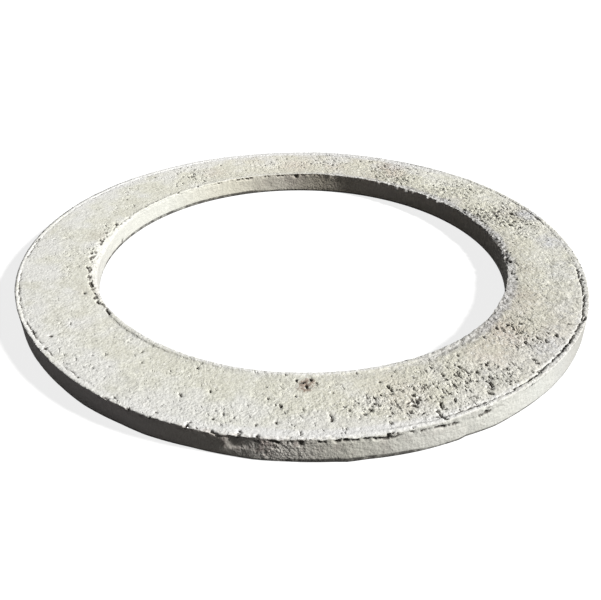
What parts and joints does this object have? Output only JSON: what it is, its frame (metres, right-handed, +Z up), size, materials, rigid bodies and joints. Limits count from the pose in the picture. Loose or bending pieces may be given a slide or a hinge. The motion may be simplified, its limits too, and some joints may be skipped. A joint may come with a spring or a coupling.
{
  "type": "concrete adjustment ring",
  "caption": "Flat precast concrete adjustment ring with a wide clear opening, a rough pressed face between thin cast lips, and broken arrises.",
  "frame": {"origin": "centre of the underside, on the axis of the clear opening, at floor level as the ring lies", "axes": "+Z up along the axis of the clear opening, out of the pressed face; +X to the right and +Y away from the picture's camera"},
  "size_m": [0.9399, 0.94, 0.04],
  "materials": {
    "cast_concrete": "matt, grainy pressed face with open pits; smoother cast walls"
  },
  "bodies": {
    "root": {"adjustment_ring": "cast_concrete"}
  },
  "joints": []
}
